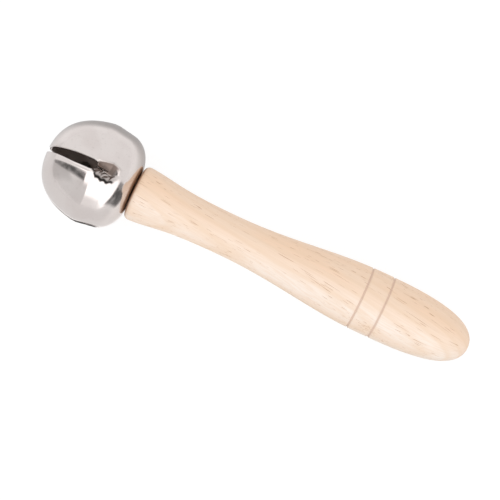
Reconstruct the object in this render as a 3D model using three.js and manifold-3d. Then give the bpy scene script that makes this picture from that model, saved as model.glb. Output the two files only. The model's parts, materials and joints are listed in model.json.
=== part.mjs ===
import * as THREE from "three";
import { mergeVertices } from "three/addons/utils/BufferGeometryUtils.js";
import Module from "manifold-3d";

// A jingle stick: a turned wooden handle with one large pressed-steel jingle bell screwed to its front end.
// Millimetres. The stick is built along x, from the handle's front face at x = 0 to its tail, and the bell
// sits on the other side of that face. It is then laid down on the bell and on the handle's belly.

// Clearances
const seatGap = 0.3;
const shankGap = 0.3;

// Handle
const handleLength = 133;
const frontRadius = 10.45;
const frontEdge = 2;
const waistAt = 37;
const waistRadius = 7.8;
const bellyAt = 95;
const bellyRadius = 11.95;
const groovesAt = 94.2;
const grooveSpacing = 8.4;
const grooveWidth = 0.8;
const grooveDepth = 0.35;
const pilotBeyond = 3.5;

// Shares of the handle's stretches and radii over which its curves keep their direction
const flareRun = 0.34;
const flareNarrowing = 0.2;
const waistRun = 0.66;
const swellRun = 0.4;
const bellyRun = 0.355;
const tailRun = 0.376;
const tailFullness = 0.99;

// Bell, measured from its equator, with the crown towards the handle and the tip away from it
const wall = 0.8;
const equatorRadius = 19.4;
const bandLength = 2;
const flankLength = 5.5;
const flankDrop = 0.65;
const crownHeight = 16.2;
const crownSeatMargin = 0.5;
const tipHeight = 18.3;
const crownHoleGap = 0.3;

// Shares of the bell's sizes over which its curves keep their direction
const tipRun = 0.7;
const petalShoulder = 0.92;
const petalRun = 0.5;
const flankRun = 0.72;
const crownRun = 0.62;

// Slots between the petals, and the fan-shaped fold in which each slot ends
const slotCount = 4;
const slotWidth = 3.15;
const slotTipWidth = 1.8;
const slotTaper = 9;
const slotEnd = 2.5;
const foldSlitWidth = 0.6;
const foldSlitEnd = 7.2;
const foldStart = 1;
const foldWidestAt = 7.6;
const foldClosingFrom = 8.9;
const foldEnd = 11.2;
const foldWidth = 5.8;
const foldDepth = 2.4;
const lipWidth = 13;
const lipTipWidth = 5;
const lipDepth = 0.45;
const lipEnd = 11;
const petalSwell = 0.012;

// Share of its width that the fold keeps at its far end
const foldEndShare = 0.3;

// Screw and washer
const screwRadius = 2;
const screwLength = 22;
const screwPoint = 5;
const headRadius = 3.9;
const headHeight = 2.6;
const headFlatRadius = 2.4;
const headRounding = 0.6;
const recessSpan = 4.4;
const recessWidth = 1.1;
const recessDepth = 1.3;
const washerRadius = 4.5;
const washerThickness = 0.8;

// Pellet
const pelletRadius = 4;
const pelletAt = -5;

// Facets
const handleSides = 32;
const handleSteps = 8;
const frontEdgeSteps = 3;
const tailSteps = 12;
const smallSides = 24;
const petalColumns = 8;
const columnCrowding = 1.5;
const petalSteps = 10;
const flankSteps = 4;
const crownSteps = 11;
const slotEndSteps = 6;
const pelletDetail = 3;

const crownSeatRadius = washerRadius + crownSeatMargin;
const crownHoleRadius = screwRadius + crownHoleGap;
const equatorAt = -seatGap - crownHeight;
const crownInside = -seatGap - wall;
const washerFront = crownInside - seatGap;
const headFront = washerFront - washerThickness - seatGap;
const pilotDepth = headFront + screwLength + pilotBeyond;

const { clamp, lerp, smoothstep } = THREE.MathUtils;
const wasm = await Module();
wasm.setup();

// A closed geometry as a solid that can be cut.
function solidOf(geometry) {
  const bare = new THREE.BufferGeometry();
  bare.setAttribute("position", geometry.getAttribute("position"));
  bare.setIndex(geometry.index);
  const merged = mergeVertices(bare, 1e-4);
  const mesh = new wasm.Mesh({
    numProp: 3,
    vertProperties: merged.getAttribute("position").array,
    triVerts: new Uint32Array(merged.index.array),
  });
  return new wasm.Manifold(mesh);
}

function geometryOf(solid) {
  const mesh = solid.getMesh();
  const geometry = new THREE.BufferGeometry();
  geometry.setAttribute("position", new THREE.BufferAttribute(mesh.vertProperties, 3));
  geometry.setIndex(new THREE.BufferAttribute(mesh.triVerts, 1));
  return geometry;
}

// A profile of points (radius, place along x) turned about the x axis, with a facet at the bottom.
function turned(profile, sides) {
  const geometry = new THREE.LatheGeometry(profile, sides, Math.PI / sides);
  return geometry.rotateZ(-Math.PI / 2);
}

function point(radius, along) {
  return new THREE.Vector2(radius, along);
}

// A smooth curve between two points of a profile, as points without the first one.
function sweepPoints(from, fromHandle, toHandle, to, steps) {
  const curve = new THREE.CubicBezierCurve(from, fromHandle, toHandle, to);
  return curve.getPoints(steps).slice(1);
}

// Handle: flared front, thin waist, full belly and round tail, with two lines scribed round the belly.
function handleProfile() {
  const face = point(frontRadius, 0);
  const waist = point(waistRadius, waistAt);
  const belly = point(bellyRadius, bellyAt);
  const tail = point(0, handleLength);
  const tailLength = handleLength - bellyAt;
  const flare = sweepPoints(
    face,
    point(frontRadius - flareNarrowing * (frontRadius - waistRadius), flareRun * waistAt),
    point(waistRadius, (1 - waistRun) * waistAt),
    waist,
    handleSteps,
  );
  const swell = sweepPoints(
    waist,
    point(waistRadius, waistAt + swellRun * (bellyAt - waistAt)),
    point(bellyRadius, bellyAt - bellyRun * (bellyAt - waistAt)),
    belly,
    handleSteps,
  );
  const end = sweepPoints(
    belly,
    point(bellyRadius, bellyAt + tailRun * tailLength),
    point(tailFullness * bellyRadius, handleLength),
    tail,
    tailSteps,
  );
  return [face, ...flare, ...swell, ...end];
}

function radiusOn(profile, along) {
  const next = profile.findIndex((p) => p.y >= along);
  const a = profile[next - 1];
  const b = profile[next];
  return a.x + ((b.x - a.x) * (along - a.y)) / (b.y - a.y);
}

function makeHandle() {
  const smooth = handleProfile();
  const grooves = [-1, 1].map((side) => groovesAt + (side * grooveSpacing) / 2);
  const groovePoints = grooves.flatMap((at) => [
    point(radiusOn(smooth, at - grooveWidth / 2), at - grooveWidth / 2),
    point(radiusOn(smooth, at) - grooveDepth, at),
    point(radiusOn(smooth, at + grooveWidth / 2), at + grooveWidth / 2),
  ]);
  const outside = smooth.filter(
    (p) => p.y > frontEdge && grooves.every((at) => Math.abs(p.y - at) > grooveWidth),
  );
  const edgeRadius = radiusOn(smooth, frontEdge);
  const edge = [];
  for (let i = 0; i <= frontEdgeSteps; i++) {
    const turn = (Math.PI * i) / (2 * frontEdgeSteps);
    edge.push(point(edgeRadius - frontEdge * (1 - Math.sin(turn)), frontEdge * (1 - Math.cos(turn))));
  }
  const hole = screwRadius + shankGap;
  const bore = [point(0, pilotDepth), point(hole, pilotDepth - hole), point(hole, 0)];
  const skin = [...outside, ...groovePoints].sort((a, b) => a.y - b.y);
  return turned([...bore, ...edge, ...skin], handleSides);
}

// The bell's outer profile from the middle of the tip to the rim of the crown hole.
function bellProfile() {
  const tip = point(0, -tipHeight);
  const equator = point(equatorRadius, 0);
  const band = point(equatorRadius, bandLength);
  const flankEnd = point(equatorRadius - flankDrop, bandLength + flankLength);
  const seat = point(crownSeatRadius, crownHeight);
  const toCrown = crownHeight - flankEnd.y;
  const shoulderAt = flankEnd.y + flankRun * toCrown;
  const petal = sweepPoints(
    tip,
    point(tipRun * equatorRadius, -tipHeight),
    point(petalShoulder * equatorRadius, -petalRun * tipHeight),
    equator,
    petalSteps,
  );
  const flank = new THREE.LineCurve(band, flankEnd).getPoints(flankSteps);
  const crown = sweepPoints(
    flankEnd,
    point(flankEnd.x - (flankRun * toCrown * flankDrop) / flankLength, shoulderAt),
    point(crownSeatRadius + crownRun * (flankEnd.x - crownSeatRadius), crownHeight),
    seat,
    crownSteps,
  );
  return [tip, ...petal, ...flank, ...crown, point(crownHoleRadius, crownHeight)];
}

// Outward direction at each point of a profile.
function profileNormals(profile) {
  return profile.map((p, i) => {
    const before = profile[Math.max(i - 1, 0)];
    const after = profile[Math.min(i + 1, profile.length - 1)];
    const along = after.clone().sub(before).normalize();
    return i === 0 ? point(0, -1) : point(along.y, -along.x);
  });
}

function fade(share) {
  const left = 1 - clamp(share, 0, 1) ** 2;
  return left * left;
}

// How far the skin is pressed in at a place along the bell and at a distance from the slot's middle line:
// the petals' edges roll in beside the slot, and behind its end the skin is pinched into a V-shaped fold.
function pressedIn(along, across) {
  const petal = clamp(-along / tipHeight, 0, 1);
  const lipHalf = lerp(lipWidth, lipTipWidth, petal) / 2;
  const lip = lipDepth * (1 - petal * petal) * fade(across / lipHalf) * fade(along / lipEnd);
  const closed = clamp((along - foldClosingFrom) / (foldEnd - foldClosingFrom), 0, 1);
  const open = Math.sqrt(1 - closed * closed);
  const foldHalf = lerp(slotWidth, foldWidth, smoothstep(along, 0, foldWidestAt)) / 2;
  const half = foldHalf * lerp(foldEndShare, 1, open);
  const deepest = foldDepth * smoothstep(along, foldStart, slotEnd) * open;
  return lip + deepest * Math.max(1 - across / half, 0);
}

// A point of the skin at a depth, for a place on the profile and an angle round the bell.
function skinPoint(p, normal, angle, depth) {
  const quarter = (2 * Math.PI) / slotCount;
  const fromSlot = angle - quarter * Math.round(angle / quarter);
  const across = p.x * Math.abs(Math.sin(fromSlot));
  const swell = 1 + (petalSwell * (1 - Math.cos(slotCount * angle))) / 2;
  const inward = pressedIn(p.y, across) * Math.abs(normal.x) + depth;
  const radius = Math.max(p.x * swell - normal.x * inward, 0);
  const along = p.y - normal.y * inward;
  return new THREE.Vector3(along, radius * Math.sin(angle), radius * Math.cos(angle));
}

// Angles round the bell, closer together beside each slot.
function skinAngles() {
  const half = Math.PI / slotCount;
  const shares = [];
  for (let i = -petalColumns; i < petalColumns; i++) {
    shares.push(Math.sign(i) * Math.abs(i / petalColumns) ** columnCrowding);
  }
  const slots = Array.from({ length: slotCount }, (_, i) => 2 * half * i);
  return slots.flatMap((slot) => shares.map((share) => slot + half * share));
}

// The bell before its slots are cut: an outer and an inner skin joined round the crown hole.
function bellBlank() {
  const profile = bellProfile();
  const normals = profileNormals(profile);
  const angles = skinAngles();
  const rings = [];
  const skins = [
    { depth: 0, order: [...profile.keys()] },
    { depth: wall, order: [...profile.keys()].reverse() },
  ];
  for (const { depth, order } of skins) {
    for (const i of order) {
      rings.push(angles.map((angle) => skinPoint(profile[i], normals[i], angle, depth)));
    }
  }
  const corners = rings.flat().flatMap((p) => [p.x, p.y, p.z]);
  const faces = [];
  const count = angles.length;
  for (let ring = 0; ring < rings.length - 1; ring++) {
    for (let i = 0; i < count; i++) {
      const a = ring * count + i;
      const b = ring * count + ((i + 1) % count);
      faces.push(a, a + count, b + count, a, b + count, b);
    }
  }
  const geometry = new THREE.BufferGeometry();
  geometry.setAttribute("position", new THREE.Float32BufferAttribute(corners, 3));
  geometry.setIndex(faces);
  return geometry;
}

// One straight cut through the bell: two opposite slots that meet at the tip, each ending in a fold's slit.
function slotCutter() {
  const beyond = 2 * equatorRadius;
  const half = slotWidth / 2;
  const slit = foldSlitWidth / 2;
  const outline = new THREE.Shape();
  outline.moveTo(-beyond, -slotTipWidth / 2);
  outline.lineTo(-tipHeight, -slotTipWidth / 2);
  outline.lineTo(-tipHeight + slotTaper, -half);
  outline.lineTo(slotEnd - half, -half);
  outline.absarc(slotEnd - half, 0, half, -Math.PI / 2, -Math.asin(slit / half));
  outline.lineTo(foldSlitEnd, -slit);
  outline.lineTo(foldSlitEnd, slit);
  outline.absarc(slotEnd - half, 0, half, Math.asin(slit / half), Math.PI / 2);
  outline.lineTo(-tipHeight + slotTaper, half);
  outline.lineTo(-tipHeight, slotTipWidth / 2);
  outline.lineTo(-beyond, slotTipWidth / 2);
  const settings = { depth: 2 * beyond, bevelEnabled: false, curveSegments: slotEndSteps };
  return new THREE.ExtrudeGeometry(outline, settings).translate(0, 0, -beyond);
}

function makeBell() {
  let bell = solidOf(bellBlank());
  for (let cut = 0; cut < slotCount / 2; cut++) {
    bell = bell.subtract(solidOf(slotCutter().rotateX((2 * Math.PI * cut) / slotCount)));
  }
  return geometryOf(bell);
}

// Pan-head wood screw, head first, with a cross recess. Its thread is left plain.
function makeScrew() {
  const profile = [
    point(0, -headHeight),
    point(headFlatRadius, -headHeight),
    point(headRadius - headRounding, -headHeight + headRounding / 2),
    point(headRadius, -headHeight + 2 * headRounding),
    point(headRadius, 0),
    point(screwRadius, 0),
    point(screwRadius, screwLength - screwPoint),
    point(0, screwLength),
  ];
  const blank = solidOf(turned(profile, smallSides));
  const arm = new THREE.BoxGeometry(2 * recessDepth, recessSpan, recessWidth);
  arm.translate(-headHeight, 0, 0);
  const recess = solidOf(arm).add(solidOf(arm.clone().rotateX(Math.PI / 2)));
  return geometryOf(blank.subtract(recess));
}

function makeWasher() {
  const profile = [
    point(crownHoleRadius, -washerThickness),
    point(washerRadius, -washerThickness),
    point(washerRadius, 0),
    point(crownHoleRadius, 0),
    point(crownHoleRadius, -washerThickness),
  ];
  return turned(profile, smallSides);
}

// How far from the bell's axis the pellet's centre lies when it sits between the lips of a slot.
function pelletDrop() {
  const profile = bellProfile();
  const outside = radiusOn(profile.slice(0, petalSteps + 1), pelletAt);
  const lipAngle = Math.asin(slotWidth / 2 / outside);
  const lip = skinPoint(point(outside, pelletAt), point(1, 0), lipAngle, wall);
  const reach = pelletRadius + seatGap;
  return lip.z - Math.sqrt(reach ** 2 - (slotWidth / 2) ** 2);
}

function piece(name, geometry, color, roughness, metalness) {
  const material = new THREE.MeshStandardMaterial({ color, roughness, metalness });
  const mesh = new THREE.Mesh(geometry, material);
  mesh.name = name;
  return mesh;
}

const handle = piece("handle", makeHandle(), "#ecd3b6", 0.55, 0);
const bellShell = piece("bell_shell", makeBell(), "#d7cdca", 0.14, 1);
const mountingScrew = piece("mounting_screw", makeScrew(), "#b9b6b0", 0.3, 1);
const screwWasher = piece("screw_washer", makeWasher(), "#c4c1bb", 0.35, 1);
const ball = new THREE.IcosahedronGeometry(pelletRadius, pelletDetail);
const pellet = piece("pellet", ball, "#8f8c88", 0.3, 1);

// The bell with its loose pellet is carried on the crown, the screw and the washer inside it.
const bell = new THREE.Group();
bell.position.x = equatorAt;
bell.add(bellShell, pellet);
pellet.position.set(pelletAt, 0, -pelletDrop());
mountingScrew.position.x = headFront;
screwWasher.position.x = washerFront;

const stick = new THREE.Group();
stick.add(handle, bell, mountingScrew, screwWasher);

// The point of a piece that lies lowest when the stick leans tail down by an angle.
function lowestPoint(mesh, lean) {
  const places = mesh.geometry.getAttribute("position");
  const found = new THREE.Vector3();
  const place = new THREE.Vector3();
  let lowest = Infinity;
  for (let i = 0; i < places.count; i++) {
    place.fromBufferAttribute(places, i).applyMatrix4(mesh.matrixWorld);
    const height = place.z * Math.cos(lean) - place.x * Math.sin(lean);
    if (height < lowest) {
      lowest = height;
      found.copy(place);
    }
  }
  return found;
}

// Laid down, the stick leans until the bell and the handle's belly both touch the surface.
function restingLean() {
  const tries = 8;
  let lean = 0;
  for (let i = 0; i < tries; i++) {
    const bellFoot = lowestPoint(bellShell, lean);
    const bellyFoot = lowestPoint(handle, lean);
    lean = Math.atan2(bellyFoot.z - bellFoot.z, bellyFoot.x - bellFoot.x);
  }
  return lean;
}

stick.updateMatrixWorld(true);
stick.rotation.y = restingLean();
stick.updateMatrixWorld(true);
const extent = new THREE.Box3().setFromObject(stick, true);
const middle = extent.getCenter(new THREE.Vector3());
stick.position.set(-middle.x, -middle.y, -extent.min.z);

const group = new THREE.Group();
group.add(stick);

export default group;
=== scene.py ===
import json
from math import cos, pi, radians, sin, sqrt

import bmesh
import bpy
import numpy as np
from mathutils import Matrix, Vector, noise


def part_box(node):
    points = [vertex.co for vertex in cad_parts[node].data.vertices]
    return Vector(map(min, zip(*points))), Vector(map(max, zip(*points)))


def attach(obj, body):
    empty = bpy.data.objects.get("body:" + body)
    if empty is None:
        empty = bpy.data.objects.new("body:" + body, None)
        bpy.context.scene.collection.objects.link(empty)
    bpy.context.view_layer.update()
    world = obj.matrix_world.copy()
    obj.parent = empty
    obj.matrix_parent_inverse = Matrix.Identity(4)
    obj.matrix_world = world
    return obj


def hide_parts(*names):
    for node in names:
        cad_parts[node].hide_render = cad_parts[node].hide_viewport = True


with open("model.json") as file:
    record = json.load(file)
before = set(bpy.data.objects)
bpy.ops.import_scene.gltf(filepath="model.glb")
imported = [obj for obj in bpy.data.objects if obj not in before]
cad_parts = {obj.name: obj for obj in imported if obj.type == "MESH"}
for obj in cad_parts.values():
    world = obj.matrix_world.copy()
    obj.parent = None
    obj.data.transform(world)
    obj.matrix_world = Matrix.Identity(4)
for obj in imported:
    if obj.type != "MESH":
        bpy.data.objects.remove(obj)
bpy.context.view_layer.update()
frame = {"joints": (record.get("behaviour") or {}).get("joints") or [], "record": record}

mm = 0.001

# The stick lies on its bell and on the handle's belly, with its tail along +X and a little down.
# Its own axis comes from the record's grip mount, which sits in the handle's waist, and the pellet's
# slide gives the way up. Lengths along the stick are counted from the handle's front face.
grip = next(mount for mount in frame["record"]["mounts"] if mount["name"] == "hand_grip")
waist_at = 37 * mm
to_tail = Vector(grip["axis"]).normalized()
upward = Vector(frame["joints"][0]["axis"]).normalized()
sideways = upward.cross(to_tail)
stick = Matrix((to_tail, sideways, upward)).transposed().to_4x4()
stick.translation = Vector(grip["pos_m"]) - waist_at * to_tail

# The photograph is taken from almost straight above, with the stick's axis turned down to the right.
turned_down = radians(25.2)
tipped_forward = radians(7.6)
camera_distance = 650 * mm
aim_along = 46.73 * mm
aim_across = -1.4 * mm

towards_camera = Vector((0, -sin(tipped_forward), cos(tipped_forward)))
across_picture = Vector((0, cos(tipped_forward), sin(tipped_forward)))
picture_right = Vector((cos(turned_down), 0, 0)) + sin(turned_down) * across_picture
picture_up = Vector((-sin(turned_down), 0, 0)) + cos(turned_down) * across_picture
camera_place = Matrix((picture_right, picture_up, towards_camera)).transposed().to_4x4()
aim = Vector((aim_along, 0, 0)) + aim_across * across_picture
camera_place.translation = aim + camera_distance * towards_camera

lens = bpy.data.cameras.new("camera")
lens.sensor_width = 36
lens.lens = 129.4
camera = bpy.data.objects.new("camera", lens)
camera.matrix_world = stick @ camera_place
bpy.context.scene.collection.objects.link(camera)
bpy.context.scene.camera = camera


# Handle. One length of pale, straight-grained hardwood, turned between centres to a flared front, a thin
# waist and a full belly, then sanded and thinly sealed. Two lines are scribed round the belly with the
# corner of a chisel, and the front end is bored for the screw that holds the bell.
handle_length = 132.97 * mm
front_radius = 10.42 * mm
front_edge = 2 * mm
waist_radius = 7.77 * mm
belly_at = 95 * mm
lines_at = 94.2 * mm
line_spacing = 8.4 * mm
line_width = 0.9 * mm
line_depth = 0.35 * mm
bore_radius = 2.3 * mm
bore_depth = 23 * mm
flare_run = 0.34
flare_narrowing = 0.2
waist_run = 0.66
swell_run = 0.4
belly_run = 0.355
tail_run = 0.376
tail_fullness = 0.99
handle_sides = 160
curve_steps = 44
edge_steps = 8
line_steps = 9
line_roundness = 0.8
touching = 0.001 * mm
inside_cad = 0.03 * mm

handle_low, handle_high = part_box("handle")
belly_radius = (handle_high.y - handle_low.y) / 2 - inside_cad
line_places = (lines_at - line_spacing / 2, lines_at + line_spacing / 2)


def sweep(start, leaving, arriving, end, steps):
    """Rows (radius, length along) of one smooth curve, without its first point."""
    t = np.linspace(0, 1, steps + 1)[1:, None]
    shares = np.hstack([(1 - t) ** 3, 3 * t * (1 - t) ** 2, 3 * t**2 * (1 - t), t**3])
    return shares @ np.array([start, leaving, arriving, end])


def handle_side():
    """The handle's side before it is scribed, from its front face to the end of its tail."""
    face = (front_radius, 0)
    waist = (waist_radius, waist_at)
    belly = (belly_radius, belly_at)
    to_belly = belly_at - waist_at
    to_end = handle_length - belly_at
    flared = (front_radius - flare_narrowing * (front_radius - waist_radius), flare_run * waist_at)
    before_waist = (waist_radius, (1 - waist_run) * waist_at)
    after_waist = (waist_radius, waist_at + swell_run * to_belly)
    before_belly = (belly_radius, belly_at - belly_run * to_belly)
    after_belly = (belly_radius, belly_at + tail_run * to_end)
    before_end = (tail_fullness * belly_radius, handle_length)
    return np.vstack([
        face,
        sweep(face, flared, before_waist, waist, curve_steps),
        sweep(waist, after_waist, before_belly, belly, curve_steps),
        sweep(belly, after_belly, before_end, (0, handle_length), curve_steps),
    ])


def handle_outline():
    """The whole turned outline: the screw's bore, the eased front edge, the side and its two lines."""
    side = handle_side()
    front = [(0, bore_depth), (bore_radius, bore_depth - bore_radius), (bore_radius, 0)]
    edge_radius = np.interp(front_edge, side[:, 1], side[:, 0])
    for turn in np.linspace(0, pi / 2, edge_steps):
        front.append((edge_radius - front_edge * (1 - sin(turn)), front_edge * (1 - cos(turn))))
    cut_side = []
    for radius, along in side:
        plain = all(abs(along - place) > line_width / 2 for place in line_places)
        if along > front_edge and plain:
            cut_side.append((radius, along))
    for place in line_places:
        for share in np.linspace(-1, 1, line_steps):
            along = place + share * line_width / 2
            radius = np.interp(along, side[:, 1], side[:, 0])
            cut_side.append((radius - line_depth * (1 - abs(share)) ** line_roundness, along))
    return front + sorted(cut_side, key=lambda row: row[1])


def node(tree, kind, inputs=None, **settings):
    """A node of a tree, with its inputs set to values or linked to other nodes' outputs."""
    made = tree.nodes.new(kind)
    for name, value in settings.items():
        setattr(made, name, value)
    for key, value in (inputs or {}).items():
        if isinstance(value, bpy.types.NodeSocket):
            tree.links.new(value, made.inputs[key])
        else:
            made.inputs[key].default_value = value
    return made


def calculated(tree, operation, *values):
    """The result of a sum on values or on nodes' outputs."""
    return node(tree, "ShaderNodeMath", dict(enumerate(values)), operation=operation).outputs[0]


def geometry_tree(name, sizes):
    """A geometry tree with named inputs, its group input's outputs, and a way to end it."""
    tree = bpy.data.node_groups.new(name, "GeometryNodeTree")
    tree.interface.new_socket("Geometry", in_out="INPUT", socket_type="NodeSocketGeometry")
    for label, kind in {**sizes, "Finish": "Material"}.items():
        tree.interface.new_socket(label, in_out="INPUT", socket_type="NodeSocket" + kind)
    tree.interface.new_socket("Geometry", in_out="OUTPUT", socket_type="NodeSocketGeometry")
    given = node(tree, "NodeGroupInput").outputs

    def end(geometry):
        real = node(tree, "GeometryNodeRealizeInstances", {"Geometry": geometry}).outputs[0]
        joining = {"Geometry": real, "Distance": touching}
        merged = node(tree, "GeometryNodeMergeByDistance", joining).outputs[0]
        finished = node(tree, "GeometryNodeSetMaterial", {"Geometry": merged, "Material": given["Finish"]})
        node(tree, "NodeGroupOutput", {"Geometry": finished.outputs[0]})

    return tree, given, end


def run_tree(tree, start, **sizes):
    """The plain mesh that a geometry tree makes from a starting mesh."""
    source = bpy.data.objects.new(tree.name, start)
    bpy.context.scene.collection.objects.link(source)
    modifier = source.modifiers.new(tree.name, "NODES")
    modifier.node_group = tree
    for socket in tree.interface.items_tree:
        wanted = socket.name.lower().replace(" ", "_")
        if socket.in_out == "INPUT" and wanted in sizes:
            modifier[socket.identifier] = sizes[wanted]
    evaluated = source.evaluated_get(bpy.context.evaluated_depsgraph_get())
    made = bpy.data.meshes.new_from_object(evaluated)
    source.modifiers.remove(modifier)
    bpy.data.objects.remove(source)
    return made


def whole(tree, operation, *values):
    """The result of a sum on whole numbers."""
    return node(tree, "FunctionNodeIntegerMath", dict(enumerate(values)), operation=operation).outputs[0]


def lathe():
    """A tree that turns an outline of points (radius, length along, height of thread) round the X axis.
    The thread is a ridge that comes round once in each pitch."""
    tree, given, end = geometry_tree("lathe", {"Sides": "Int", "Pitch": "Float"})
    counted = node(tree, "GeometryNodeAttributeDomainSize", {"Geometry": given["Geometry"]})
    rows = counted.outputs["Point Count"]
    around = whole(tree, "ADD", given["Sides"], 1)
    sheet = node(tree, "GeometryNodeMeshGrid", {"Vertices X": rows, "Vertices Y": around}).outputs["Mesh"]
    index = node(tree, "GeometryNodeInputIndex").outputs[0]
    row = whole(tree, "DIVIDE_FLOOR", index, around)
    column = whole(tree, "MODULO", index, around)
    position = node(tree, "GeometryNodeInputPosition").outputs[0]
    sample = node(tree, "GeometryNodeSampleIndex", data_type="FLOAT_VECTOR", domain="POINT")
    tree.links.new(given["Geometry"], sample.inputs["Geometry"])
    tree.links.new(position, sample.inputs["Value"])
    tree.links.new(row, sample.inputs["Index"])
    outline = node(tree, "ShaderNodeSeparateXYZ", {0: sample.outputs[0]}).outputs
    angle = calculated(tree, "MULTIPLY", column, calculated(tree, "DIVIDE", 2 * pi, given["Sides"]))
    sine = calculated(tree, "SINE", angle)
    cosine = calculated(tree, "COSINE", angle)
    wound = calculated(tree, "SUBTRACT", calculated(tree, "DIVIDE", outline["Y"], given["Pitch"]),
                       calculated(tree, "DIVIDE", angle, 2 * pi))
    ridge = calculated(tree, "POWER", calculated(tree, "PINGPONG", wound, 0.5), ridge_sharpness)
    full = calculated(tree, "MULTIPLY", outline["Z"], 0.5**-ridge_sharpness)
    radius = calculated(tree, "MULTIPLY_ADD", ridge, full, outline["X"])
    y = calculated(tree, "MULTIPLY", radius, sine)
    z = calculated(tree, "MULTIPLY", radius, cosine)
    place = node(tree, "ShaderNodeCombineXYZ", {"X": outline["Y"], "Y": y, "Z": z}).outputs[0]
    turned = node(tree, "GeometryNodeSetPosition", {"Geometry": sheet, "Position": place}).outputs[0]
    end(turned)
    return tree


ridge_sharpness = 3
lathe_tree = lathe()


def turn_piece(outline, sides, finish, pitch=1.0):
    """A turned piece as a plain mesh, with its length along X and its faces outwards."""
    start = bpy.data.meshes.new("outline")
    start.from_pydata([(*point, 0)[:3] for point in outline], [], [])
    made = run_tree(lathe_tree, start, sides=sides, finish=finish, pitch=pitch)
    shaped = bmesh.new()
    shaped.from_mesh(made)
    bmesh.ops.dissolve_degenerate(shaped, edges=shaped.edges, dist=touching)
    bmesh.ops.recalc_face_normals(shaped, faces=shaped.faces)
    shaped.to_mesh(made)
    shaped.free()
    return made


def seat_piece(name, mesh, place, replaced, body="stick"):
    """Puts a finished mesh at a place on the stick's axes, in the stead of a CAD node."""
    mesh.transform(stick @ Matrix.Translation(place))
    mesh.shade_smooth()
    piece = bpy.data.objects.new(name, mesh)
    bpy.context.scene.collection.objects.link(piece)
    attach(piece, body)
    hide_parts(replaced)


def colour(red, green, blue):
    """A colour as it is seen on a screen, as the light it stands for."""
    return tuple((c / 255) ** 2.2 for c in (red, green, blue)) + (1,)


def new_finish(name):
    """An empty material, its tree, its shader, and its surface's place along the stick."""
    finish = bpy.data.materials.new(name)
    finish.use_nodes = True
    tree = finish.node_tree
    seen = node(tree, "ShaderNodeTexCoord").outputs["Object"]
    settings = {"Vector": seen, "Location": stick.translation, "Rotation": stick.to_euler()}
    place = node(tree, "ShaderNodeMapping", settings, vector_type="TEXTURE").outputs[0]
    return finish, tree, tree.nodes["Principled BSDF"], place


def placed(tree, place, **how):
    """A place turned, moved or scaled for a texture."""
    return node(tree, "ShaderNodeMapping", {"Vector": place, **how}).outputs[0]


def grains(tree, place, length, width, detail=0.0):
    """Noise whose grains are as long along X and as wide across it as given."""
    spread = placed(tree, place, Scale=(1 / length, 1 / width, 1 / width))
    return node(tree, "ShaderNodeTexNoise", {"Vector": spread, "Scale": 1.0, "Detail": detail}).outputs["Fac"]


def from_axis(tree, spot):
    """How far a place, given as its three parts, is from the X axis."""
    squares = [calculated(tree, "POWER", spot[part], 2) for part in (1, 2)]
    return calculated(tree, "SQRT", calculated(tree, "ADD", *squares))


def eased(tree, value, low, high, to_low=0.0, to_high=1.0):
    """The value spread from one span to another with soft ends."""
    spans = {"Value": value, "From Min": low, "From Max": high, "To Min": to_low, "To Max": to_high}
    return node(tree, "ShaderNodeMapRange", spans, interpolation_type="SMOOTHSTEP").outputs[0]


def tinted(tree, base, tint, amount):
    """The base colour turned to the tint by an amount from 0 to 1."""
    mix = node(tree, "ShaderNodeMix", {0: amount}, data_type="RGBA")
    for socket, value in ((6, base), (7, tint)):
        if isinstance(value, bpy.types.NodeSocket):
            tree.links.new(value, mix.inputs[socket])
        else:
            mix.inputs[socket].default_value = value
    return mix.outputs[2]


def stained(tree, base, tint, where, strength):
    """The base colour turned to the tint where a mark is, at a strength from 0 to 1."""
    return tinted(tree, base, tint, calculated(tree, "MULTIPLY", where, strength))


def textured(tree, shader, height, strength, depth):
    """Gives a surface fine relief, as deep as given, from a height without unit."""
    relief = {"Height": height, "Strength": strength, "Distance": depth}
    tree.links.new(node(tree, "ShaderNodeBump", relief).outputs[0], shader.inputs["Normal"])


grain_turn = radians(7)
pith_aside = 31 * mm
pith_below = 24 * mm
pith_lean = radians(2)
ring_sway = 2.6 * mm
ring_width = 3.4 * mm
pore_length = 9 * mm
pore_width = 0.24 * mm
# Painted light and shade across the handle: paler on the side towards the soft box, warmer and darker on the
# far side.
lit_side_wood = colour(253, 241, 231)
shaded_side_wood = colour(249, 215, 186)
broad_streak = colour(247, 221, 198)
early_wood = colour(240, 208, 177)
late_wood = colour(236, 204, 172)
fibre = colour(241, 212, 186)
open_pore = colour(190, 146, 108)
# Painted shade at the handle's front face, in the crevice where it meets the bell.
front_end_shade = colour(158, 112, 76)
scribed_line = colour(214, 186, 168)


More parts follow.
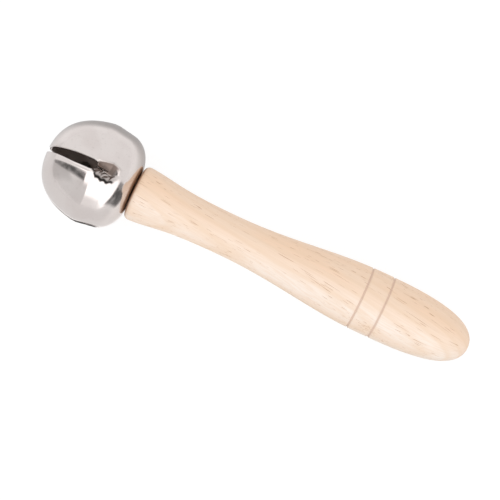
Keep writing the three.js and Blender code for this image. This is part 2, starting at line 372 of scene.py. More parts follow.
def turned_wood():
    """Pale wood: growth rings round a pith beside the stick, and open pores along the grain."""
    finish, tree, shader, place = new_finish("turned_wood")
    grain = placed(tree, place, Rotation=(0, 0, grain_turn))
    spot = node(tree, "ShaderNodeSeparateXYZ", {0: place}).outputs
    pith = placed(tree, grain, Location=(0, pith_aside, -pith_below), Rotation=(0, pith_lean, 0))
    from_pith = from_axis(tree, node(tree, "ShaderNodeSeparateXYZ", {0: pith}).outputs)
    sway = grains(tree, grain, 60 * mm, 14 * mm, 1.0)
    swayed = calculated(tree, "MULTIPLY_ADD", sway, ring_sway, from_pith)
    ring = calculated(tree, "FRACT", calculated(tree, "DIVIDE", swayed, ring_width))
    early = eased(tree, ring, 0.45, 0.0)
    late = eased(tree, ring, 0.8, 1.0)

    # Fibres and pores keep their width from waist to belly, as if the handle's skin were a straight tube.
    flattened = calculated(tree, "DIVIDE", front_radius, from_axis(tree, spot))
    sides = [calculated(tree, "MULTIPLY", spot[part], flattened) for part in (1, 2)]
    skin = node(tree, "ShaderNodeCombineXYZ", dict(enumerate([spot[0], *sides]))).outputs[0]
    skin = placed(tree, skin, Rotation=(0, 0, grain_turn))
    broad = eased(tree, grains(tree, grain, 45 * mm, 6 * mm, 1.0), 0.35, 0.65)
    fibres = eased(tree, grains(tree, skin, 14 * mm, 0.5 * mm, 1.5), 0.36, 0.66)
    # Painted light and shade: the side towards the soft box is painted paler, the far side warmer and darker.
    tone = tinted(tree, lit_side_wood, shaded_side_wood, eased(tree, spot[1], -11 * mm, 5 * mm))
    tone = stained(tree, tone, broad_streak, broad, 0.7)
    tone = stained(tree, tone, early_wood, early, 0.4)
    tone = stained(tree, tone, late_wood, late, 0.35)
    tone = stained(tree, tone, fibre, fibres, 0.4)

    dash = grains(tree, skin, pore_length, pore_width)
    patch = eased(tree, grains(tree, grain, 22 * mm, 3 * mm, 1.0), 0.42, 0.62)
    crowd = calculated(tree, "MULTIPLY", patch, calculated(tree, "MULTIPLY_ADD", early, 0.6, 0.4))
    limit = calculated(tree, "MULTIPLY_ADD", crowd, -0.15, 0.78)
    pore = eased(tree, calculated(tree, "SUBTRACT", dash, limit), 0.0, 0.06)
    tone = stained(tree, tone, open_pore, pore, 0.7)
    # Painted shade at the front face, in the crevice where the handle meets the bell.
    tone = stained(tree, tone, front_end_shade, eased(tree, spot[0], 1.1 * mm, 0.2 * mm), 0.85)

    marks = []
    for line in line_places:
        off = calculated(tree, "ABSOLUTE", calculated(tree, "SUBTRACT", spot[0], line))
        marks.append(eased(tree, off, 0.7 * line_width, 0.15 * line_width))
    tone = stained(tree, tone, scribed_line, calculated(tree, "MAXIMUM", *marks), 0.7)
    tree.links.new(tone, shader.inputs["Base Color"])

    rough = calculated(tree, "MULTIPLY_ADD", fibres, 0.08, 0.52)
    tree.links.new(calculated(tree, "MULTIPLY_ADD", pore, 0.2, rough), shader.inputs["Roughness"])
    height = calculated(tree, "MULTIPLY_ADD", pore, -1.0, calculated(tree, "MULTIPLY", fibres, -0.25))
    textured(tree, shader, height, 0.25, 0.05 * mm)
    shader.inputs["Specular IOR Level"].default_value = 0.35
    return finish


front_face = (0, 0, 0)
handle_mesh = turn_piece(handle_outline(), handle_sides, turned_wood())
seat_piece("turned_handle", handle_mesh, front_face, "handle")


# Bell shell. One cross-shaped blank of steel sheet, drawn to a cup, its four petals closed over the
# pellet, then barrelled and bright nickel plated. The petals' edges roll in a little along the slots, and
# where each slot ends the sheet is pinched into a fan-shaped fold with a thin slit down its middle.
wall = 0.8 * mm
equator_at = -16.5 * mm
equator_radius = 19.07 * mm
band_length = 2 * mm
flank_length = 5.5 * mm
flank_drop = 0.85 * mm
crown_height = 16.2 * mm
crown_seat_radius = 6.2 * mm
crown_hole_radius = 2.3 * mm
tip_height = 18.2 * mm
tip_run = 0.7
petal_shoulder = 0.92
petal_run = 0.5
flank_run = 0.66
crown_run = 0.49
petal_count = 4
petal_swell = 0.012
petal_corner = 1.5 * mm

slot_half = 1.575 * mm
slot_tip_half = 0.75 * mm
slot_taper = 12 * mm
slot_end = 2.2 * mm
slot_rounding = 2.8 * mm
slit_half = 0.14 * mm
slit_end = 6.8 * mm
slit_taper = 2 * mm
lip_depth = 0.13 * mm
lip_reach = 3.4 * mm
lip_tip_reach = 2.4 * mm
lip_end = 8 * mm
roll_depth = 0.1 * mm
roll_at = 2.5 * mm
roll_width = 0.6 * mm
roll_middle = -1.8 * mm
roll_length = 3.4 * mm
lip_round = 0.3 * mm
lip_share_of_gap = 0.8
lip_squareness = 0.6
lip_steps = 5

tip_samples = 400
tip_start_samples = 40
band_samples = 30
flank_samples = 80
crown_samples = 300
seat_samples = 60
ring_samples = 6000
column_samples = 2000
rows_per_mm = 1.8
more_rows_by_fold = 3.2
fold_rows_reach = 9 * mm
more_rows_at_tip = 12
tip_rows_reach = 0.6 * mm
columns_per_mm = 1.3
more_columns_by_slot = 3
slot_columns_reach = 7 * mm

fold_start = 0.4 * mm
fold_wall_at = 8.3 * mm
fold_end = 10.9 * mm
fold_slant = 0.25
fold_stations = np.array([1, 2.9, 4.1, 7, 9.6, 10.4]) * mm
fold_far_widths = np.array([1.5, 2.1, 2.5, 3.2, 2.5, 2.3]) * mm
fold_near_widths = np.array([1.6, 3.3, 3.7, 3.8, 3, 2.7]) * mm
fold_depth = 2.3 * mm
fold_shift = 0.8 * mm
fold_middle = 5.5 * mm
border_wave = 0.25 * mm
border_wave_length = 2.3 * mm
wrinkle_depth = 0.24 * mm
wrinkle_length = 1.5 * mm
wrinkle_sway = 0.5 * mm
wrinkle_sway_length = 4.3 * mm
valley_round = 0.15 * mm
crease = 0.045
# How much of the fold's painted shade the near wall gets.
near_wall_shade = 0.5
# A painted dark reflection along the fold's borders, weaker on the far wall, and painted shade in the near
# wall's wrinkle troughs.
dark_border = 1.8
dark_border_at = 0.06
dark_border_spread = 0.15
far_dark_border = 0.2
furrow_shade = 0.5


def bell_side():
    """The bell's outer side from the middle of its tip to the rim of the crown's hole."""
    tip = (0, -tip_height)
    equator = (equator_radius, 0)
    band = (equator_radius, band_length)
    flank = (equator_radius - flank_drop, band_length + flank_length)
    to_crown = crown_height - flank[1]
    narrowing = flank_run * to_crown * flank_drop / flank_length
    past_flank = (flank[0] - narrowing, flank[1] + flank_run * to_crown)
    before_seat = (crown_seat_radius + crown_run * (flank[0] - crown_seat_radius), crown_height)
    before_equator = (petal_shoulder * equator_radius, -petal_run * tip_height)
    return np.vstack([
        tip,
        sweep(tip, (tip_run * equator_radius, -tip_height), before_equator, equator, tip_samples),
        np.linspace(equator, band, band_samples)[1:],
        np.linspace(band, flank, flank_samples)[1:],
        sweep(flank, past_flank, before_seat, (crown_seat_radius, crown_height), crown_samples),
        np.linspace((crown_seat_radius, crown_height), (crown_hole_radius, crown_height), seat_samples)[1:],
    ])


def spaced(places, density):
    """Places picked from a dense run of them, closer together where the density is higher."""
    spent = np.concatenate([[0], np.cumsum((density[1:] + density[:-1]) / 2 * np.diff(places))])
    count = int(round(spent[-1]))
    return np.interp(np.linspace(0, spent[-1], count + 1), spent, places)


def smooth_step(share):
    """A rise from 0 to 1 with soft ends."""
    t = np.clip(share, 0, 1)
    return t * t * (3 - 2 * t)


def fade(share):
    """A fall from 1 to 0 that starts and ends softly."""
    return (1 - np.clip(share, 0, 1) ** 2) ** 2


def slot_half_width(along):
    """Half the width of the gap between two petals at a place along the bell."""
    widening = np.clip((along + tip_height) / slot_taper, 0, 1)
    half = slot_tip_half + (slot_half - slot_tip_half) * widening
    rounding = np.clip((along - slot_end + slot_rounding) / slot_rounding, 0, 1)
    slit = slit_half * np.clip((slit_end - along) / slit_taper, 0, 1)
    return slit + (half - slit) * np.sqrt(1 - rounding**2)


def pressed_in(along, across, later_side):
    """How far the sheet is pressed in beside a slot, with the painted shade and dark reflections in the fold.
    The near wall lies on a slot's later side and is wrinkled; the far wall is plain and painted darker."""
    petal = np.clip(-along / tip_height, 0, 1)
    reach = lip_reach + (lip_tip_reach - lip_reach) * petal
    lip = lip_depth * (1 - petal**2) * fade(across / reach) * fade(np.clip(along, 0, None) / lip_end)
    rolled = roll_depth * fade((along - roll_middle) / roll_length) * (later_side > 0)
    lip = lip + rolled * (1 - smooth_step((across - roll_at) / roll_width))

    slanted = along + fold_slant * np.clip(later_side * across, 0, None)
    closing = 1 - smooth_step((slanted - fold_wall_at) / (fold_end - fold_wall_at))
    depth = fold_depth * smooth_step((along - fold_start) / (slot_end - fold_start)) * closing
    shift = fold_shift * smooth_step((along - slot_end) / (fold_wall_at - slot_end)) * closing
    past_valley = later_side * across - shift
    wave = border_wave * np.sin(2 * pi * along / border_wave_length)
    near_wall = np.interp(along, fold_stations, fold_near_widths) + wave
    far_wall = np.interp(along, fold_stations, fold_far_widths)
    wall_width = np.where(past_valley > 0, near_wall - shift, far_wall + shift)
    inside = 1 - (np.hypot(past_valley, valley_round) - valley_round) / wall_width
    uneven = np.sin(2 * pi * along / wrinkle_sway_length)
    phase = 2 * pi * (along + wrinkle_sway * uneven) / wrinkle_length + across / valley_round / 2
    ripple = np.sin(phase) * (0.6 + 0.4 * uneven) * (past_valley > 0)
    wrinkle = wrinkle_depth * ripple * smooth_step(3 * inside) * smooth_step(3 - 3 * inside)
    share = depth / fold_depth
    # Painted shade on the fold's walls, full on the far wall and less on the near one.
    fold_shade = share * smooth_step(6 * inside + 0.5) * np.where(past_valley > 0, near_wall_shade, 1)
    # A painted dark reflection along the fold's borders and painted shade in the troughs of the near wall's
    # wrinkles.
    border = dark_border * np.exp(-((inside - dark_border_at) / dark_border_spread) ** 2)
    painted_fold_dark = smooth_step(2.5 * share) * np.clip(border, 0, 1) * np.where(past_valley > 0, 1, far_dark_border)
    furrow = furrow_shade * share * smooth_step(-2 * ripple - 0.6) * smooth_step(4 * inside)
    press = lip + wrinkle * share + depth * (inside + np.sqrt(inside**2 + crease**2)) / 2
    return press, fold_shade, np.maximum(painted_fold_dark, furrow)


def bell_quarter():
    """One petal with its share of the crown, from slot to slot, as a closed sheet but for its seams."""
    side = bell_side()
    lengths = np.concatenate([[0], np.cumsum(np.hypot(*np.diff(side, axis=0).T))])
    corner = slot_tip_half + lip_round + petal_corner
    corner_far = sqrt(2) * corner
    start = slice(0, tip_start_samples)
    first = np.interp(corner_far - petal_corner, side[start, 0], lengths[start])
    dense = np.linspace(first, lengths[-1], ring_samples)
    dense_along = np.interp(dense, lengths, side[:, 1])
    near_fold = fade(np.abs(dense_along - fold_middle) / fold_rows_reach)
    near_tip = np.exp((first - dense) / tip_rows_reach)
    row_density = (rows_per_mm + more_rows_by_fold * near_fold) / mm + more_rows_at_tip / mm * near_tip
    rings = spaced(dense, row_density)
    radius = np.interp(rings, lengths, side[:, 0])
    along = np.interp(rings, lengths, side[:, 1])
    outward_r = np.gradient(along, rings)
    outward_a = -np.gradient(radius, rings)
    size = np.hypot(outward_r, outward_a)
    outward_r, outward_a = outward_r / size, outward_a / size

    # Between two slots the petal's edges are straight, and its tip is rounded between them.
    half = slot_half_width(along)
    open_slot = along < slit_end
    half = np.where(open_slot, half + np.minimum(lip_round, lip_share_of_gap * half), 0)
    edge_angle = np.arcsin(np.clip(half / radius, 0, sqrt(0.5)))
    reach = (radius**2 + corner_far**2 - petal_corner**2) / (2 * radius * corner_far)
    tip_angle = pi / 4 - np.arccos(np.clip(reach, -1, 1))
    tangent = np.hypot(slot_tip_half + lip_round, corner)
    at_tip = (along < 0) & (radius < tangent)
    edge_angle = np.where(at_tip, np.maximum(tip_angle, edge_angle), edge_angle)

    half_petal = np.linspace(0, pi / 4, column_samples)
    near_slot = fade(equator_radius * half_petal / slot_columns_reach)
    column_density = (columns_per_mm + more_columns_by_slot * near_slot) * equator_radius / mm
    shares = spaced(half_petal, column_density) / (pi / 4)
    shares = np.concatenate([shares[:-1], 2 - shares[::-1]]) / 2
    angle = edge_angle[:, None] + (pi / 2 - 2 * edge_angle[:, None]) * shares[None, :]

    from_slot = np.minimum(angle, pi / 2 - angle)
    later_side = np.where(angle > pi / 4, 1.0, -1.0)
    across = radius[:, None] * np.sin(from_slot)
    swell = 1 + petal_swell * (1 - np.cos(petal_count * angle)) / 2
    press, *marks = pressed_in(along[:, None], across, later_side)
    press = press * np.abs(outward_r)[:, None]

    def skin(depth):
        inward = press + depth
        out = radius[:, None] * swell - outward_r[:, None] * inward
        far = along[:, None] - outward_a[:, None] * inward
        return np.stack([far + 0 * out, out * np.sin(angle), out * np.cos(angle)], axis=-1)

    return along, skin(0), skin(wall), open_slot, marks


def quarter_mesh():
    """The quarter as a mesh: outer skin, inner skin, rounded lips along the slots and the hole's rim."""
    along, outer, inner, open_slot, (fold_shade, painted_fold_dark) = bell_quarter()
    rows, columns = outer.shape[:2]
    last_open = int(np.nonzero(open_slot)[0][-1]) + 1
    points = [*outer.reshape(-1, 3), *inner.reshape(-1, 3)]
    faces = []

    def at(row, column, skin):
        return skin * rows * columns + row * columns + column

    for row in range(rows - 1):
        for column in range(columns - 1):
            a, b = at(row, column, 0), at(row, column + 1, 0)
            c, d = at(row + 1, column + 1, 0), at(row + 1, column, 0)
            faces.append((d, c, b, a))
            a, b = at(row, column, 1), at(row, column + 1, 1)
            c, d = at(row + 1, column + 1, 1), at(row + 1, column, 1)
            faces.append((a, b, c, d))
    for column in range(columns - 1):
        a, b = at(rows - 1, column, 1), at(rows - 1, column + 1, 1)
        c, d = at(rows - 1, column + 1, 0), at(rows - 1, column, 0)
        faces.append((a, b, c, d))

    border = [(row, 0) for row in range(last_open, 0, -1)] + [(0, 0)]
    border += [(row, columns - 1) for row in range(1, last_open + 1)]
    outside = np.array([outer[row, column] for row, column in border])
    inside = np.array([inner[row, column] for row, column in border])
    middle = (outside + inside) / 2
    run = np.gradient(middle, axis=0)
    thickness = outside - inside
    bulge = np.cross(run, thickness)
    bulge /= np.linalg.norm(bulge, axis=1)[:, None]
    opening = np.array([slot_half_width(along[row]) if open_slot[row] else 0 for row, _ in border])
    bulge *= np.minimum(lip_round, lip_share_of_gap * opening)[:, None]
    strip = [[at(row, column, 0) for row, column in border]]
    for step in range(1, lip_steps + 1):
        turn = pi * step / (lip_steps + 1)
        level = np.sign(cos(turn)) * abs(cos(turn)) ** lip_squareness
        stand = sin(turn) ** lip_squareness
        ring = middle + thickness / 2 * level + bulge * stand
        strip.append(list(range(len(points), len(points) + len(ring))))
        points.extend(ring)
    strip.append([at(row, column, 1) for row, column in border])
    for upper, lower in zip(strip, strip[1:]):
        for i in range(len(border) - 1):
            faces.append((upper[i], upper[i + 1], lower[i + 1], lower[i]))

    mesh = bpy.data.meshes.new("quarter")
    mesh.from_pydata([tuple(p) for p in points], [], faces)
    per_skin = rows * columns
    marks = [("inside", per_skin, np.ones(per_skin)), ("fold_shade", 0, fold_shade), ("painted_fold_dark", 0, painted_fold_dark)]
    for name, first, levels in marks:
        everywhere = np.zeros(len(points), np.float32)
        everywhere[first:first + per_skin] = levels.reshape(-1)
        mesh.attributes.new(name, "FLOAT", "POINT").data.foreach_set("value", everywhere)
    return mesh


def petals_round_crown():
    """A tree that repeats a quarter of the bell round the X axis and joins the seams."""
    tree, given, end = geometry_tree("petals_round_crown", {"Petals": "Int"})
    points = node(tree, "GeometryNodePoints", {"Count": given["Petals"]}).outputs[0]
    index = node(tree, "GeometryNodeInputIndex").outputs[0]
    angle = calculated(tree, "MULTIPLY", index, calculated(tree, "DIVIDE", 2 * pi, given["Petals"]))
    turn = node(tree, "ShaderNodeCombineXYZ", {"X": angle}).outputs[0]
    turned = node(tree, "FunctionNodeEulerToRotation", {0: turn}).outputs[0]
    petals = node(tree, "GeometryNodeInstanceOnPoints", {"Points": points, "Instance": given["Geometry"]})
    tree.links.new(turned, petals.inputs["Rotation"])
    end(petals.outputs[0])
    return tree


bright_nickel = (0.72, 0.665, 0.645, 1)
clouded_nickel = (0.68, 0.62, 0.60, 1)
specked_nickel = (0.55, 0.50, 0.48, 1)
# Painted shade on the fold's walls.
shaded_fold_nickel = (0.16, 0.118, 0.1, 1)
# Near-black painted along the fold's borders and in the wrinkle troughs, as dark reflection and shade.
painted_fold_black = (0.02, 0.017, 0.015, 1)
unpolished_inside = (0.6, 0.52, 0.48, 1)


def nickel_plate():
    """Bright nickel, rubbed by handling, dull in the folds and inside, with painted shade in the folds."""
    finish, tree, shader, place = new_finish("nickel_plate")
    inside, fold_shade, painted_fold_dark = (node(tree, "ShaderNodeAttribute", attribute_name=mark).outputs["Fac"]
                              for mark in ("inside", "fold_shade", "painted_fold_dark"))
    cloud = eased(tree, grains(tree, place, 9 * mm, 9 * mm, 2.0), 0.35, 0.65)
    speck = eased(tree, grains(tree, place, 0.8 * mm, 0.8 * mm, 1.0), 0.62, 0.74)
    tone = tinted(tree, bright_nickel, clouded_nickel, cloud)
    tone = stained(tree, tone, specked_nickel, speck, 0.3)
    # Painted shade on the fold's walls.
    tone = stained(tree, tone, shaded_fold_nickel, fold_shade, 0.95)
    # Painted near-black: a dark reflection along the fold's borders and shade in the wrinkle troughs.
    tone = tinted(tree, tone, painted_fold_black, painted_fold_dark)
    tone = tinted(tree, tone, unpolished_inside, inside)
    tree.links.new(tone, shader.inputs["Base Color"])
    rub = grains(tree, placed(tree, place, Rotation=(0.3, 0.2, 0.6)), 5 * mm, 0.12 * mm, 2.0)
    rough = calculated(tree, "MULTIPLY_ADD", rub, 0.05, 0.085)
    rough = calculated(tree, "MULTIPLY_ADD", cloud, 0.03, rough)
    rough = calculated(tree, "MULTIPLY_ADD", calculated(tree, "ADD", fold_shade, painted_fold_dark), 0.1, rough)
    tree.links.new(calculated(tree, "MULTIPLY_ADD", inside, 0.4, rough), shader.inputs["Roughness"])
    textured(tree, shader, grains(tree, place, 4 * mm, 4 * mm, 1.0), 0.12, 0.1 * mm)
    shader.inputs["Metallic"].default_value = 1
    return finish


bell_mesh = run_tree(petals_round_crown(), quarter_mesh(), petals=petal_count, finish=nickel_plate())
shaped = bmesh.new()
shaped.from_mesh(bell_mesh)
bmesh.ops.dissolve_degenerate(shaped, edges=shaped.edges, dist=touching)
shaped.to_mesh(bell_mesh)
shaped.free()
seat_piece("pressed_bell", bell_mesh, (equator_at, 0, 0), "bell_shell")


# Screw washer. A stamped steel ring, zinc plated, between the screw's head and the thin crown. The punch
# leaves its upper edges eased and the lower ones sharp, and clamping dishes it a little.
washer_front = -1.4 * mm
washer_radius = 4.48 * mm
washer_thickness = 0.78 * mm
washer_easing = 0.15 * mm
washer_dish = 0.05 * mm
small_sides = 96
washer_zinc = (0.56, 0.55, 0.53)
cold_bloom = (0.86, 0.88, 0.93)
nick_shade = (0.55, 0.52, 0.48)
circle_closeness = 9


def zinc_plate(name, tone, turned):
    """Zinc plate: grey with a cold bloom, fine marks of the tool and scattered nicks."""
    finish, tree, shader, place = new_finish(name)
    bloom = eased(tree, grains(tree, place, 2.5 * mm, 2.5 * mm, 2.0), 0.35, 0.65)
    spot = node(tree, "ShaderNodeSeparateXYZ", {0: place}).outputs
    outwards = calculated(tree, "MULTIPLY", from_axis(tree, spot), circle_closeness)
    circles = node(tree, "ShaderNodeCombineXYZ", {0: spot[0], 1: outwards}).outputs[0]
    marks = grains(tree, circles if turned else place, 0.2 * mm, 0.6 * mm, 2.0)
    nicks = eased(tree, grains(tree, place, 0.35 * mm, 0.35 * mm, 1.0), 0.66, 0.74)
    cold = [share * part for share, part in zip(cold_bloom, tone)]
    nicked = [share * part for share, part in zip(nick_shade, tone)]
    mixed = tinted(tree, (*tone, 1), (*cold, 1), bloom)
    mixed = stained(tree, mixed, (*nicked, 1), nicks, 0.5)
    tree.links.new(mixed, shader.inputs["Base Color"])
    rough = calculated(tree, "MULTIPLY_ADD", marks, 0.2, 0.2)
    tree.links.new(calculated(tree, "MULTIPLY_ADD", bloom, 0.08, rough), shader.inputs["Roughness"])
    textured(tree, shader, calculated(tree, "SUBTRACT", marks, nicks), 0.3, 0.02 * mm)
    shader.inputs["Metallic"].default_value = 1
    return finish


def washer_outline():
    """A ring's section: the bore, the dished front with its eased edges, the rim and the back."""
    outline = [(crown_hole_radius, 0), (crown_hole_radius, -washer_thickness + washer_easing)]
    eased_edge = np.linspace(0, pi / 2, 5)
    for turn in eased_edge:
        out = crown_hole_radius + washer_easing * (1 - cos(turn))
        outline.append((out, -washer_thickness + washer_easing * (1 - sin(turn))))
    face_width = washer_radius - crown_hole_radius - 2 * washer_easing
    for share in np.linspace(0, 1, 6)[1:-1]:
        out = crown_hole_radius + washer_easing + share * face_width
        outline.append((out, -washer_thickness + washer_dish * sin(pi * share)))
    for turn in eased_edge:
        out = washer_radius - washer_easing * (1 - sin(turn))
        outline.append((out, -washer_thickness + washer_easing * (1 - cos(turn))))
    return outline + [(washer_radius, 0), (crown_hole_radius, 0)]


washer_finish = zinc_plate("washer_steel", washer_zinc, turned=False)
washer_mesh = turn_piece(washer_outline(), small_sides, washer_finish)
seat_piece("stamped_washer", washer_mesh, (washer_front, 0, 0), "screw_washer")


# Mounting screw. A zinc-plated steel wood screw with a pan head: the head is upset and its cross recess
# punched, the thread is rolled on the front of the shank and ends in a gimlet point. It is driven from
# inside the bell, before the petals are closed, into the end grain of the handle.
head_front = -2.5 * mm
head_radius = 3.85 * mm
head_height = 2.55 * mm
head_flat_radius = 1.6 * mm
head_skirt = 0.25
head_dome = 0.9
head_easing = 0.12 * mm
neck_fillet = 0.25 * mm
neck_fillet_middle = 0.07 * mm
shank_radius = 1.95 * mm
core_radius = 1.45 * mm
thread_height = 0.5 * mm
thread_pitch = 1.8 * mm
thread_start = 6 * mm
thread_full = 7.4 * mm
thread_rows = 150
neck_down = 0.4 * mm
screw_length = 21.95 * mm
point_length = 5.5 * mm
point_bluntness = 0.8
recess_span = 4.2 * mm
recess_width = 0.95 * mm
recess_depth = 1.5 * mm
recess_floor_span = 0.55
recess_floor_width = 0.7
recess_overshoot = 0.3 * mm
four_corners = ((-1, -1), (1, -1), (1, 1), (-1, 1))
screw_zinc = (0.52, 0.51, 0.48)


def screw_outline():
    """The screw from the middle of its head to its point, with the height of its thread in each row."""
    outline = [(0, -head_height, 0), (head_flat_radius, -head_height, 0)]
    for turn in np.linspace(0, pi / 2, 12)[1:]:
        out = head_flat_radius + (head_radius - head_flat_radius) * sin(turn)
        outline.append((out, -head_height * (head_skirt + (1 - head_skirt) * cos(turn) ** head_dome), 0))
    outline += [(head_radius, -head_easing, 0), (head_radius - head_easing, 0, 0)]
    outline += [(shank_radius + neck_fillet, 0, 0)]
    outline += [(shank_radius + neck_fillet_middle, neck_fillet_middle, 0)]
    outline += [(shank_radius, neck_fillet, 0), (shank_radius, thread_start - neck_down, 0)]
    for along in np.linspace(thread_start, screw_length, thread_rows):
        left = np.clip((screw_length - along) / point_length, 0, 1)
        core = core_radius * left**point_bluntness
        height = thread_height * smooth_step((along - thread_start) / (thread_full - thread_start))
        outline.append((core, along, height * left**0.5))
    return outline


def punch_cross(mesh):
    """Cuts the tapered cross into the head's front, as the punch leaves it."""
    cutter = bmesh.new()
    wide, narrow = recess_span / 2, recess_floor_span * recess_span / 2
    thick, thin = recess_width / 2, recess_floor_width * recess_width / 2
    top, bottom = -head_height - recess_overshoot, -head_height + recess_depth
    for turn in (0, pi / 2):
        turned = Matrix.Rotation(turn, 4, "X")
        ends = []
        for x, y, z in ((top, wide, thick), (bottom, narrow, thin)):
            corners = [turned @ Vector((x, a * y, b * z)) for a, b in four_corners]
            ends.append([cutter.verts.new(corner) for corner in corners])
        cutter.faces.new(ends[0])
        cutter.faces.new(ends[1][::-1])
        for i in range(4):
            j = (i + 1) % 4
            cutter.faces.new((ends[0][j], ends[0][i], ends[1][i], ends[1][j]))
    bmesh.ops.recalc_face_normals(cutter, faces=cutter.faces)
    cross = bpy.data.meshes.new("cross")
    cutter.to_mesh(cross)
    cutter.free()
    punch = bpy.data.objects.new("punch", cross)
    blank = bpy.data.objects.new("blank", mesh)
    for made in (punch, blank):
        bpy.context.scene.collection.objects.link(made)
    cut = blank.modifiers.new("cross", "BOOLEAN")
    cut.object = punch
    cut.solver = "EXACT"
    cut.use_self = True
    punched = bpy.data.meshes.new_from_object(blank.evaluated_get(bpy.context.evaluated_depsgraph_get()))
    bpy.data.objects.remove(blank)
    bpy.data.objects.remove(punch)
    return punched


screw_finish = zinc_plate("screw_steel", screw_zinc, turned=True)
screw_mesh = punch_cross(turn_piece(screw_outline(), small_sides, screw_finish, thread_pitch))
seat_piece("wood_screw", screw_mesh, (head_front, 0, 0), "mounting_screw")


# Pellet. A loose ball of bare steel, cut from rod and tumbled, so it is a little uneven and full of small
# nicks. It lies between the lips of the lower slot and strikes the shell when the stick is shaken.
pellet_low, pellet_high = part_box("pellet")
pellet_middle = stick.inverted() @ ((pellet_low + pellet_high) / 2)
pellet_radius = (pellet_high.y - pellet_low.y) / 2 - 2 * inside_cad
pellet_unevenness = 0.012
pellet_lump = 2.2 * mm
pellet_sides = 72
pellet_rows = 37
grey_steel = (0.27, 0.26, 0.25, 1)
darker_steel = (0.21, 0.2, 0.19, 1)
rubbed_steel = (0.42, 0.41, 0.39, 1)
spotted_steel = (0.1, 0.085, 0.07, 1)


def tumbled_ball():
    """A ball turned from half a circle and made uneven by tumbling."""
    turns = np.linspace(0, pi, pellet_rows)
    half_circle = [(pellet_radius * sin(turn), -pellet_radius * cos(turn)) for turn in turns]
    ball = turn_piece(half_circle, pellet_sides, tumbled_steel())
    for vertex in ball.vertices:
        lump = noise.noise(vertex.co / pellet_lump) - 1
        vertex.co *= 1 + pellet_unevenness * lump / 2
    return ball


def tumbled_steel():
    """Bare steel, greyed by tumbling, with bright rubs, nicks and a few dark spots."""
    finish, tree, shader, place = new_finish("pellet_steel")
    grey = eased(tree, grains(tree, place, 1.6 * mm, 1.6 * mm, 2.0), 0.35, 0.65)
    rubs = eased(tree, grains(tree, place, 2.4 * mm, 0.35 * mm, 1.0), 0.58, 0.7)
    spots = eased(tree, grains(tree, place, 0.5 * mm, 0.5 * mm, 1.0), 0.66, 0.76)
    tone = tinted(tree, grey_steel, darker_steel, grey)
    tone = stained(tree, tone, rubbed_steel, rubs, 0.6)
    tone = stained(tree, tone, spotted_steel, spots, 0.7)
    tree.links.new(tone, shader.inputs["Base Color"])
    rough = calculated(tree, "MULTIPLY_ADD", grey, 0.12, 0.3)
    tree.links.new(calculated(tree, "MULTIPLY_ADD", spots, 0.25, rough), shader.inputs["Roughness"])
    textured(tree, shader, calculated(tree, "SUBTRACT", grey, spots), 0.35, 0.04 * mm)
    shader.inputs["Metallic"].default_value = 1
    return finish


seat_piece("tumbled_pellet", tumbled_ball(), pellet_middle, "pellet", "pellet")


# Floor and light. A sheet of white paper in a light room, with a soft box on its near side and cards round
# the bell. The paper shows white, with the stick's soft shadow on it, and the metal mirrors it with a painted
# shadow behind the bell and painted light right under the bell.
paper_size = 3
paper_tone = 0.8
white_glow = 0.82
toned_down = 0.55
shadow_middle = (-68 * mm, 42 * mm, 0)
bell_foot = (-68 * mm, -8 * mm, 0)
near_side = (0.4, 1, 0)
shadow_shade = 0.24
open_lift = 0.27
near_dimming = 0.16
foot_lift = 0.42


def new_stage_finish(name):
    """An empty material for what stands round the stick, with its tree and its place in the room."""
    finish = bpy.data.materials.new(name)
    finish.use_nodes = True
    finish.node_tree.nodes.clear()
    spot = node(finish.node_tree, "ShaderNodeTexCoord").outputs["Object"]
    return finish, finish.node_tree, spot


def seen_directly(tree):
    """The kinds of ray, and 1 where the camera sees a thing directly or through glass."""
    ray = node(tree, "ShaderNodeLightPath").outputs
    return ray, calculated(tree, "MAXIMUM", ray["Is Camera Ray"], ray["Is Transmission Ray"])


def white_paper():
    """White paper, which the metal mirrors lifted or shaded by place, as it sees it in the photograph."""
    finish, tree, spot = new_stage_finish("paper")
    ray, seen = seen_directly(tree)

    def measured(point, operation):
        return node(tree, "ShaderNodeVectorMath", {0: spot, 1: point}, operation=operation).outputs["Value"]

    from_shadow = measured(shadow_middle, "DISTANCE")
    lift = eased(tree, from_shadow, 16 * mm, 80 * mm, 0.0, open_lift)
    dimming = eased(tree, measured(near_side, "DOT_PRODUCT"), -22 * mm, -70 * mm, 0.0, near_dimming)
    lift = calculated(tree, "SUBTRACT", lift, dimming)
    under_bell = eased(tree, measured(bell_foot, "DISTANCE"), 26 * mm, 8 * mm, 0.0, foot_lift)
    lift = calculated(tree, "ADD", lift, under_bell)
    shade = calculated(tree, "MULTIPLY", ray["Is Glossy Ray"], eased(tree, from_shadow, 60 * mm, 5 * mm))
    tone = calculated(tree, "MULTIPLY_ADD", shade, -shadow_shade, paper_tone)
    tone = calculated(tree, "MULTIPLY_ADD", seen, -toned_down, tone)
    lit = node(tree, "ShaderNodeBsdfDiffuse", {"Color": tone}).outputs[0]
    mirrored = calculated(tree, "MULTIPLY", ray["Is Glossy Ray"], lift)
    glow = calculated(tree, "MULTIPLY_ADD", seen, white_glow, mirrored)
    glowing = node(tree, "ShaderNodeEmission", {"Strength": glow}).outputs[0]
    both = node(tree, "ShaderNodeAddShader", {0: lit, 1: glowing}).outputs[0]
    node(tree, "ShaderNodeOutputMaterial", {"Surface": both})
    return finish


floor_mesh = bpy.data.meshes.new("floor")
floor_mesh.from_pydata([(paper_size * x, paper_size * y, 0) for x, y in four_corners], [], [(0, 1, 2, 3)])
floor_mesh.materials.append(white_paper())
floor = bpy.data.objects.new("floor", floor_mesh)
bpy.context.scene.collection.objects.link(floor)

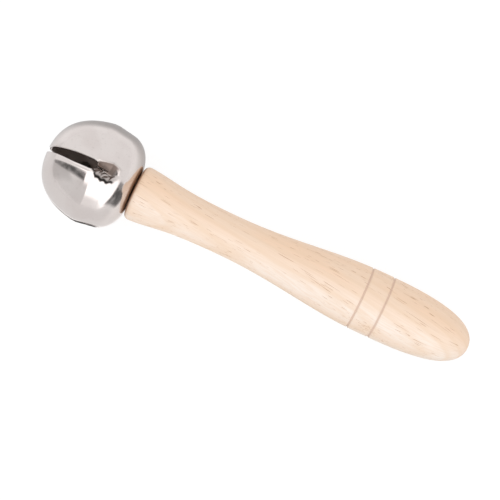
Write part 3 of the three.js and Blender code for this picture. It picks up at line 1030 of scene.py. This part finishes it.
room_light = 0.9
room = bpy.data.worlds.new("room")
room.use_nodes = True
room_tree = room.node_tree
background = room_tree.nodes["Background"]
ray, seen = seen_directly(room_tree)
seen_or_mirrored = calculated(room_tree, "MAXIMUM", seen, ray["Is Glossy Ray"])
brightness = calculated(room_tree, "MULTIPLY_ADD", seen_or_mirrored, 1 - room_light, room_light)
room_tree.links.new(brightness, background.inputs["Strength"])
background.inputs["Color"].default_value = (1, 1, 1, 1)
bpy.context.scene.world = room

bpy.context.scene.view_settings.view_transform = "Standard"

soft_box_at = (0.3, -0.66, 0.64)
lamp = bpy.data.lights.new("soft_box", "AREA")
lamp.shape = "RECTANGLE"
lamp.size = 0.8
lamp.size_y = 1.25
lamp.energy = 1.6
soft_box = bpy.data.objects.new("soft_box", lamp)
lamp_place = stick @ Vector(soft_box_at)
from_waist = lamp_place - stick @ Vector((waist_at, 0, 0))
facing_waist = from_waist.to_track_quat("Z", "Y").to_matrix().to_4x4()
soft_box.matrix_world = Matrix.Translation(lamp_place) @ facing_waist
soft_box.visible_glossy = False
bpy.context.scene.collection.objects.link(soft_box)

card_steps = 24
card_softness = 0.13
low_softness = 0.35
card_patch = 0.1


def studio_card(name, finish, distance, outline, foot=None):
    """A card round the bell that only metal mirrors, from its four corners' directions: degrees from
    straight above, towards the tail and towards the near side. Its edges are soft. A card with a foot
    bends there and lies over the paper; the others go on under it."""
    share = np.linspace(0, 1, card_steps + 1)
    u, v = (grid.ravel()[:, None] for grid in np.meshgrid(share, share))
    first, second, third, fourth = np.radians(np.array(outline, float))
    turns = (1 - u) * (1 - v) * first + u * (1 - v) * second + u * v * third + (1 - u) * v * fourth
    tailwards, nearwards = turns.T
    level = np.cos(nearwards)
    ways = np.stack([np.sin(tailwards) * level, -np.sin(nearwards), np.cos(tailwards) * level], axis=1)
    bell_middle = Vector((equator_at, 0, 0))
    points = [stick @ (bell_middle + distance * Vector(way)) for way in ways]
    if foot is not None:
        middle = stick @ bell_middle
        points = [middle.lerp(point, (middle.z - foot) / (middle.z - min(point.z, foot))) for point in points]
    row = card_steps + 1
    faces = [(i * row + j, i * row + j + 1, (i + 1) * row + j + 1, (i + 1) * row + j)
             for i in range(card_steps) for j in range(card_steps)]
    mesh = bpy.data.meshes.new(name)
    mesh.from_pydata(points, [], faces)
    cover = smooth_step(np.minimum(u, 1 - u) / card_softness) * smooth_step(v / card_softness)
    cover *= smooth_step((1 - v) / low_softness)
    mesh.attributes.new("cover", "FLOAT", "POINT").data.foreach_set("value", cover.ravel().astype(np.float32))
    mesh.materials.append(finish)
    card = bpy.data.objects.new(name, mesh)
    card.visible_camera = False
    card.visible_diffuse = False
    card.visible_shadow = False
    bpy.context.scene.collection.objects.link(card)


def card_finish(name, brightness, unevenness=0.0):
    """A card as bright as given, with patches up to the unevenness brighter, that fades at its edges."""
    finish, tree, spot = new_stage_finish(name)
    cover = node(tree, "ShaderNodeAttribute", attribute_name="cover").outputs["Fac"]
    patches = eased(tree, grains(tree, spot, card_patch, card_patch, 2.0), 0.4, 0.65, 0.0, unevenness)
    strength = calculated(tree, "ADD", patches, brightness)
    glow = node(tree, "ShaderNodeEmission", {"Strength": strength}).outputs[0]
    clear = node(tree, "ShaderNodeBsdfTransparent").outputs[0]
    faded = node(tree, "ShaderNodeMixShader", {0: cover, 1: clear, 2: glow}).outputs[0]
    node(tree, "ShaderNodeOutputMaterial", {"Surface": faded})
    return finish


bright = card_finish("bright_card", 1.8)
dim = card_finish("dim_card", 0.36)
dark = card_finish("dark_card", 0.08, 0.12)
dusky = card_finish("dusky_card", 0.08, 0.3)
grey = card_finish("grey_card", 0.82)
deeper_grey = card_finish("deeper_grey_card", 0.68)
studio_card("soft_box_seen", bright, 0.75, ((-58, -7), (70, -8), (78, 84), (44, 83)))
studio_card("near_card", grey, 0.85, ((-95, 28), (8, 22), (45, 100), (-95, 100)))
studio_card("side_card", deeper_grey, 0.8, ((-105, 6), (-45, 8), (-40, 45), (-105, 42)))
studio_card("overhead_card", dusky, 0.7, ((-97, 5), (-21, 10), (-9, 38), (-97, 8)))
studio_card("tail_card", dark, 0.7, ((65, -6), (107, 4), (106, 27), (57, 68)), foot=0.3 * mm)
studio_card("low_window", dim, 0.66, ((71, 26), (86, 18), (95, 27), (75, 43)), foot=0.5 * mm)
studio_card("high_window", dim, 0.66, ((66, -4), (102, -3), (100, 8), (72, 11)))
